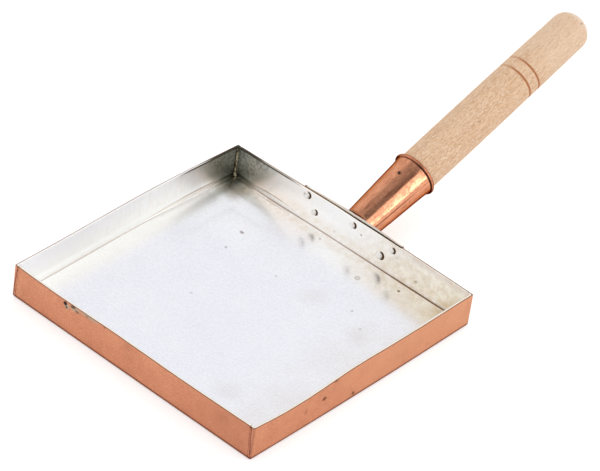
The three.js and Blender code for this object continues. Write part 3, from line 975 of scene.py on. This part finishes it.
def wiped_tin():
    """Tin wiped over the inside, with patina, specks, painted light and shade, and a scorched corner that is
    partly painted shade.
    """
    tin = TinPaint("wiped_tin")
    tin_floor(tin)
    tin_walls(tin)
    tin_stains(tin)
    tin_specks(tin)
    scorched_and_shaded_corner(tin)
    grain = tin.noise(1.7, detail=4, seed=27, rough=0.7).span(0.36, 0.64)
    dimmed = tin.colour.vector("MULTIPLY", tin.wall.blend(0.94, 0.985))
    tin.colour = grain.mix(dimmed, tin.colour)
    return tin.finish(tin_roughness(tin), tin_relief(tin), depth=0.02, strength=0.3)


def tin_floor(tin):
    """Bluish floor, with painted light along the left wall's foot, whiter near the rear left corner, and tan
    on the right.
    """
    x = tin.axes[0]
    cloud = tin.noise(22, detail=3, seed=2)
    tin.colour = cloud.mix((245, 246, 252), (238, 239, 247))
    # painted light: floor lighter along the foot of the left wall
    tin.coat((253, 253, 251), x.span(-84, -97))
    tin.coat((252, 252, 254), tin.away.span(75, 45) * 0.5)
    tin.coat((224, 212, 198), (x + cloud * 60).span(70, 150) * 0.4)


def tin_walls(tin):
    """Cream rear wall and greyer left wall, each with a whiter band above the floor, a painted reflection of
    the bright bend.
    """
    x, y, z = tin.axes
    cream = x.span(0, 90).mix((253, 252, 246), (255, 253, 239))
    cream = x.span(-15, -55).mix(cream, (249, 243, 235))
    # painted reflection: near-white band low on the rear wall
    tin.coat(z.span(6.5, 4).mix(cream, (255, 254, 250)), tin.rear)
    drawn = tin.noise(1.6, detail=4, stretch=(1, 1, 4), seed=19)
    grey = drawn.span(0.35, 0.65).mix((254, 253, 250), (249, 246, 242))
    grey = y.span(0, -70).mix(grey, (247, 245, 242))
    # painted reflection: near-white band low on the left wall
    tin.coat(z.span(9.5, 6.5).mix(grey, (255, 255, 253)), tin.left)


def tin_stains(tin):
    """Patina of the rear wall, a blotted stain along its foot, a burnt right corner and painted shade below
    the rim on its right part.
    """
    x, y, z = tin.axes
    patina = tin.noise(4, detail=5, seed=11, rough=0.65).span(0.45, 0.75)
    tin.coat((226, 211, 184), patina * tin.rear * x.span(0, 95).blend(0.05, 0.04))
    flat = z.span(2.6, 2.1)
    stain = y.span(84, 97) * flat * 0.8 | y.span(72, 94) * x.span(-25, 50)
    blots = tin.noise(5, detail=6, seed=15, rough=0.7).span(0.32, 0.7).blend(0.1, 0.4)
    tin.coat((212, 193, 162), stain * blots * y.span(91, 99).blend(1, 1.5))
    burnt = tin.ragged(5, 8, 12).spot("xy", (97, 97), 11, 9, (0.8, 1))
    tin.coat((184, 158, 116), burnt * flat * 0.55)
    # painted shade under the rim on the right part of the rear wall
    tin.coat((204, 184, 172), z.span(19.5, 25.5) * x.span(20, 60) * tin.rear * 0.45)


def tin_specks(tin):
    """Specks and a ring on the floor, a dot on the rear wall, faint patches, and painted shadow, partly
    grime, beside the rivets.
    """
    place = tin.ragged(1.2, 3, 6)
    specks = place.spots(
        "xy",
        (0.7, (-56, 60), 1.1, 0.7, (0.8, 1)),
        (0.55, (-51.5, 40), 0.9, 0.6),
        (0.8, (-18.3, 96), 0.8, 0.5),
        (0.95, (53.5, 94.7), 1.0, 0.5),
        (0.3, (-9, 42.7), 0.9, 0.7),
        (0.35, (47.5, 54.7), 1.0, 0.7),
        (0.35, (63.5, 44.3), 1.0, 0.7),
        (0.25, (-32.5, -14), 1.0, 0.7),
    )
    ring = abs(place.reach("xy", (26.4, 83.9)) - 1.3).span(1.2, 0.3)
    low = tin.axes[2].span(6, 4)
    tin.coat((122, 96, 74), (specks | ring * 0.4) * low)
    tin.coat((80, 70, 58), place.spot("xz", (9, 17.1), 0.5, 0.4) * tin.rear)
    patches = tin.ragged(6, 12, 9).spots(
        "xy",
        (0.2, (22, 47), 8, 6),
        (0.25, (68, 38), 9, 7),
        (0.22, (52, -68), 9, 7),
    )
    tin.coat((214, 206, 200), patches * low)
    # painted shadow, partly grime, beside the rivet heads
    tin.coat((84, 56, 32), rivet_shadow_and_grime(tin) * tin.rear)


def rivet_shadow_and_grime(tin):
    """Dark crescents beside the rivet heads: painted shadow, partly grime."""
    crescents = []
    for name, size in RIVETS.items():
        low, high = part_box(name)
        centre = (low + high) / 2 / MM
        radius = 2.2 * size
        beside = (centre.x + 0.55 * radius, centre.z + 0.3)
        crescents.append(tin.place.spot("xz", beside, radius, 0.3, (1.1, 0.95)))
    return most(crescents)


def scorched_and_shaded_corner(tin):
    """Marks that gather in the rear left corner: painted shade as a haze on the left wall and as lines in
    the creases, a brown fringe, a painted reflection on the left bend, darkening that is partly tarnish and
    partly painted shade, a dark line along the top, dark scorch, blotches and flux streaks.
    """
    x, y, z = tin.axes
    wall = tin.wall
    away = tin.away
    ragged = tin.ragged_away
    # painted shade: haze on the left wall that deepens towards the corner
    tin.coat((160, 150, 140), tin.left * z.span(12, 6).blend(0.55, 0.2) * away.span(48, 22))
    # painted shade lines in the creases of the bend, read from the crease mask
    tin.coat(x.span(-10, 50).mix((148, 100, 60), (124, 92, 54)), tin.mask("crease"))
    fringe = ragged.span(31, 19) * ragged.span(11, 19) * wall.blend(0.5, 0.2)
    tin.coat(wall.mix((196, 172, 144), (178, 164, 148)), fringe)
    bend = z.span(1.9, 2.2) * z.span(5.4, 4.6)
    # painted reflection: lighter band on the left wall's bend
    tin.coat((240, 235, 228), bend * tin.left * y.span(15, 50) * 0.7)
    # darkening of the bend, walls and floor towards the corner: partly tarnish, partly painted shade
    tin.coat((160, 154, 138), bend * away.span(24, 14))
    tin.coat((124, 152, 138), ragged.span(23.5, 17.5) * wall.blend(0.12, 0.26))
    tin.coat((130, 138, 122), away.span(17, 2) * 0.12)
    scorch = tin.ragged(4, 6, 18).spot("xy", (-94.5, 94.5), 10.5, 6)
    tin.coat((112, 108, 94), scorch * wall.blend(0.4, 0))
    tin.coat((62, 54, 44), z.span(24.3, 25) * away.span(42, 26) * 0.9)
    blotches = tin.noise(2.4, detail=4, seed=23).span(0.46, 0.6)
    tin.coat((78, 80, 68), blotches * away.span(19, 8) * 0.4)
    tin.coat((58, 56, 48), flux_streaks(tin) * 0.3)


def flux_streaks(tin):
    """Streaks that run out from the foot of the rear left corner."""
    out = tin.place.vector("SUBTRACT", (-102.5, 102.5, 2.5))
    rays = Value(tin.noise_at(out.vector("NORMALIZE"), 8, 3)[0])
    length = rays.span(0.35, 0.7) * 10 + 5
    return (out.vector("LENGTH") / length).span(1.15, 0.4)


def tin_roughness(tin):
    """Roughness of the floor, the rear and the left wall, and of all three near the rear left corner."""
    x, _, z = tin.axes
    upper = z.span(13, 20) * x.span(10, -30)
    rear = upper.blend(x.span(20, 50).blend(0.18, 0.16), 0.3)
    floor = x.span(-99, -102).blend(x.span(-84, -97).blend(0.22, 0.32), 0.38)
    plain = tin.left.blend(tin.rear.blend(floor, rear), 0.34)
    corner = tin.wall.blend(tin.away.span(20, 12).blend(0.2, 0.28), 0.3)
    return tin.away.span(40, 24).blend(plain, corner)


def tin_relief(tin):
    """Streaks and fine grain, with the floor tilted broadly away from the walls near the rear left corner.
    """
    x, y, z = tin.axes
    streak = tin.noise(1.2, detail=3, stretch=(9, 1, 1), seed=8)
    fine = tin.noise(1.3, detail=3, seed=5)
    at_left = x.span(-79, -101) * y.span(-20, 60)
    at_rear = y.span(74, 97) * x.span(-32, -76)
    dished = (at_left + at_rear) * z.span(2.2, 1.9)
    return streak + fine * 0.6 + dished * 380


# Other materials

def lumpy_solder():
    paint = Paint("lumpy_solder")
    lumps = paint.noise(1.2, detail=3)
    fine = paint.noise(0.4, seed=3)
    paint.colour = lumps.span(0.42, 0.6).mix((84, 76, 58), (222, 210, 180))
    return paint.finish(fine.blend(0.24, 0.4), lumps + fine, depth=0.3, strength=0.7)


def plate_copper():
    """Copper plate, tinned along its upper edge, with a brown line round the tin."""
    paint = Paint("plate_copper", REAR)
    x, y, z = paint.axes
    mottle = paint.noise(9, detail=3, seed=2)
    fine = paint.noise(0.8, seed=6)
    paint.colour = mottle.mix((222, 152, 116), (204, 134, 100))
    paint.coat((180, 116, 88), fine.span(0.5, 0.8) * 0.3)
    level = z + (mottle - 0.5) * 2
    paint.coat((226, 220, 210), level.span(HEIGHT - 1.6, HEIGHT - 0.9))
    ends = abs(x - PLATE_OFFSET).span(PLATE_WIDTH / 2 - 1.8, PLATE_WIDTH / 2 - 0.8)
    back = y.span(PLATE_BACK - 0.35, PLATE_BACK - 0.15)
    paint.coat((120, 82, 66), (ends | back) * z.span(HEIGHT - 2, HEIGHT - 1) * 0.75)
    return paint.finish(mottle.blend(0.32, 0.46), fine, depth=0.03, strength=0.5)


def tinned_rivet():
    """Rivet: tinned head inside the pan, bare copper behind."""
    paint = Paint("tinned_rivet", REAR)
    patch = paint.noise(1.1)
    paint.colour = patch.mix((252, 250, 245), (240, 235, 226))
    paint.coat(patch.mix((206, 140, 108), (170, 108, 80)), paint.axes[1].span(-1, 0.5))
    return paint.finish(patch.blend(0.26, 0.38), patch, depth=0.08, strength=0.6)


def polished_copper():
    """Planished and polished copper, with marks drawn out along the cone, a painted reflection lightening
    its left side and painted shade below the bead.
    """
    paint = Paint("polished_copper", HANDLE, limb=(104, 70, 58))
    x, y, z = paint.axes
    drawn = paint.noise(1.6, detail=3, stretch=(1, 9, 1), seed=2)
    fine = paint.noise(0.5, stretch=(1, 5, 1), seed=5)
    patch = paint.noise(7, detail=3, seed=7)
    brown = paint.noise(2.2, detail=3, stretch=(1, 5, 1), seed=9)
    hammered = paint.noise(4.5, stretch=(1, 1.8, 1), seed=13)
    paint.colour = patch.mix((236, 168, 132), (212, 142, 110))
    paint.coat((150, 88, 64), fine.span(0.45, 0.75) * 0.5)
    paint.coat((246, 190, 140), fine.span(0.45, 0.2) * 0.5)
    paint.coat((148, 88, 64), brown.span(0.5, 0.75) * 0.45)
    # painted reflection: the left side of the cone lighter
    paint.coat((244, 178, 140), x.span(-2, -10) * 0.3)
    from_seam = abs(z.number("ARCTAN2", x) - radians(SEAM_ANGLE))
    paint.coat((110, 50, 36), from_seam.span(0.06, 0.015) * y.span(30, 54).blend(0.9, 0.25))
    bead = SOCKET_LENGTH - BEAD
    paint.coat((184, 110, 80), y.span(bead, SOCKET_LENGTH - 0.6) * 0.5)
    shaded = (x.span(-4, 9) | x.span(-8, -13)).blend(0.4, 0.95)
    paint.coat((70, 44, 34), abs(y - bead).span(0.7, 0.25) * shaded)
    stain = paint.place.spot("xyz", (0, NAIL_STATION, 15), 1.8, 0.6, (1, 1, 0.2))
    paint.coat((120, 72, 56), stain * 0.5)
    return paint.finish(patch.blend(0.18, 0.26), hammered + drawn * 0.15, depth=0.17, strength=0.8)


def brazing_brass():
    paint = Paint("brazing_brass", REAR)
    lumps = paint.noise(1.5, detail=3)
    paint.colour = lumps.span(0.35, 0.7).mix((196, 134, 100), (226, 166, 128))
    return paint.finish(lumps.blend(0.35, 0.55), lumps, depth=0.2, strength=0.7)


def turned_wood():
    """Pale close-grained wood, unvarnished, with short pores along the grain and two scorched rings, painted
    darker on one side as shade in the grooves.
    """
    paint = Paint("pale_wood", HANDLE, metallic=0.0)
    x, y, _ = paint.axes
    fibre = paint.noise(0.55, detail=3, stretch=(1, 12, 1), seed=2)
    pale = paint.noise(0.5, stretch=(1, 5, 1), seed=12)
    pores = paint.noise(0.42, detail=1, stretch=(1, 6, 1), seed=6)
    broad = paint.noise(7, stretch=(1, 9, 1), seed=9)
    from_heart = paint.place.reach("xyz", (-7, 190, -26), (1, 0.05, 1))
    rings = ((from_heart + broad * 3.5) * 2.1).number("SINE")
    flecks = pores.span(0.6, 0.72)
    cap = y.span(GRIP_END - 9, GRIP_END - 6)
    paint.colour = broad.span(0.3, 0.7).mix((242, 205, 168), (236, 196, 157))
    paint.coat((216, 172, 134), rings.span(0.2, 1) * 0.3)
    paint.coat((212, 162, 120), fibre.span(0.45, 0.65) * 0.7)
    paint.coat((255, 232, 210), pale.span(0.5, 0.7) * 0.85)
    paint.coat((178, 124, 88), flecks * 0.65)
    paint.coat((252, 226, 200), y.span(GRIP_END - 62, GRIP_END - 40) * 0.3)
    paint.coat((253, 234, 214), cap * 0.65)
    paint.coat((220, 180, 142), cap * rings.span(0.1, 0.9) * 0.22)
    knots = paint.ragged(0.6, 1.5, 21).spots(
        "xyz",
        (0.8, (9, GRIP_END - 7, 10), 0.9, 0.5),
        (0.5, (10.9, 119, 10.2), 0.5, 0.4, (1, 0.6, 1)),
    )
    paint.coat((124, 90, 72), knots)
    # scorched grooves with painted shade: darker on one side of the grip
    scorch = x.span(-9, 6).blend(0.2, 0.95)
    for groove in GROOVES:
        paint.coat((192, 122, 74), abs(y - groove).span(1.1, 0.45) * scorch)
    return paint.finish(fibre.blend(0.55, 0.72), fibre - flecks, depth=0.05, strength=0.4)


def dark_steel():
    paint = Paint("dark_steel", HANDLE)
    rust = paint.noise(0.5, detail=3)
    paint.colour = rust.mix((46, 40, 40), (80, 60, 50))
    return paint.finish(rust.blend(0.4, 0.6), rust, depth=0.06, strength=0.6)


# Studio

def ray_kind(tree):
    """1 for camera, glossy and transmission rays, and 0 for the rest."""
    path = tree.nodes.new("ShaderNodeLightPath").outputs
    return most([Value(path[kind]) for kind in ("Is Camera Ray", "Is Glossy Ray", "Is Transmission Ray")])


def dim_patch(tree, direction, outer, inner, level):
    """Round patch of the surroundings that falls from white to a level between two angles in degrees."""
    source = Value(tree.nodes.new("ShaderNodeTexCoord").outputs["Generated"])
    facing = source.vector("DOT_PRODUCT", Vector(direction).normalized())
    return facing.span(cos(radians(outer)), cos(radians(inner))).blend(1, level)


def studio_world():
    """White all round. Reflections also see dim parts overhead and the dim side where the camera stands."""
    world = bpy.data.worlds.new("studio")
    bpy.context.scene.world = world
    world.use_nodes = True
    tree = world.node_tree
    dimmed = dim_patch(tree, *OVERHEAD) * dim_patch(tree, *CEILING) * dim_patch(tree, *CAMERA_SIDE)
    path = tree.nodes.new("ShaderNodeLightPath")
    seen = Value(path.outputs["Is Camera Ray"]).blend(dimmed, 1)
    fill(tree.nodes["Background"], {"Color": WHITE, "Strength": ray_kind(tree).blend(AMBIENT, seen)})


def studio_floor():
    """Pale floor that keeps the pan's shadow. Only camera and mirrored rays see it glow."""
    mesh = bpy.data.meshes.new("floor")
    corners = [(x * FLOOR_REACH, y * FLOOR_REACH, 0) for x, y in ((-1, -1), (1, -1), (1, 1), (-1, 1))]
    mesh.from_pydata(corners, [], [(0, 1, 2, 3)])
    floor = add_object("floor", mesh)
    floor.location.z = -FLOOR_DROP
    material = bpy.data.materials.new("floor_white")
    material.use_nodes = True
    tree = material.node_tree
    fill(tree.nodes["Principled BSDF"], {
        "Base Color": FLOOR_TONE,
        "Roughness": 0.9,
        "Specular IOR Level": 0,
        "Emission Color": WHITE,
        "Emission Strength": ray_kind(tree) * FLOOR_GLOW,
    })
    mesh.materials.append(material)


def soft_lamp(name, direction, distance, width, height, radiance):
    """Soft box that faces the pan."""
    data = bpy.data.lights.new(name, "AREA")
    data.shape = "RECTANGLE"
    data.size = width
    data.size_y = height
    data.energy = radiance * pi * width * height
    lamp = add_object(name, data)
    aim = Vector(direction).normalized()
    lamp.location = Vector(LAMP_TARGET) + aim * distance
    lamp.rotation_euler = aim.to_track_quat("Z", "Y").to_euler()


def photo_camera():
    data = bpy.data.cameras.new("photo_camera")
    data.lens = LENS
    data.sensor_width = SENSOR
    data.sensor_fit = "HORIZONTAL"
    data.clip_end = CLIP_END
    camera = add_object("photo_camera", data)
    camera.location = CAMERA_PLACE
    camera.rotation_euler = [radians(turn) for turn in CAMERA_TURN]
    bpy.context.scene.camera = camera


def build():
    tray()
    lining()
    solder_look = lumpy_solder()
    for seed, (name, (side_x, side_y)) in enumerate(SOLDERS.items(), 1):
        solder(name, side_x, side_y, seed, solder_look)
    plate()
    rivet_look = tinned_rivet()
    for seed, (name, size) in enumerate(RIVETS.items(), 1):
        rivet(name, size, seed, rivet_look)
    socket()
    braze()
    grip()
    nail()
    studio_world()
    studio_floor()
    for name, lamp in LAMPS.items():
        soft_lamp(name, *lamp)
    photo_camera()
    bpy.context.scene.view_settings.view_transform = "Standard"


build()
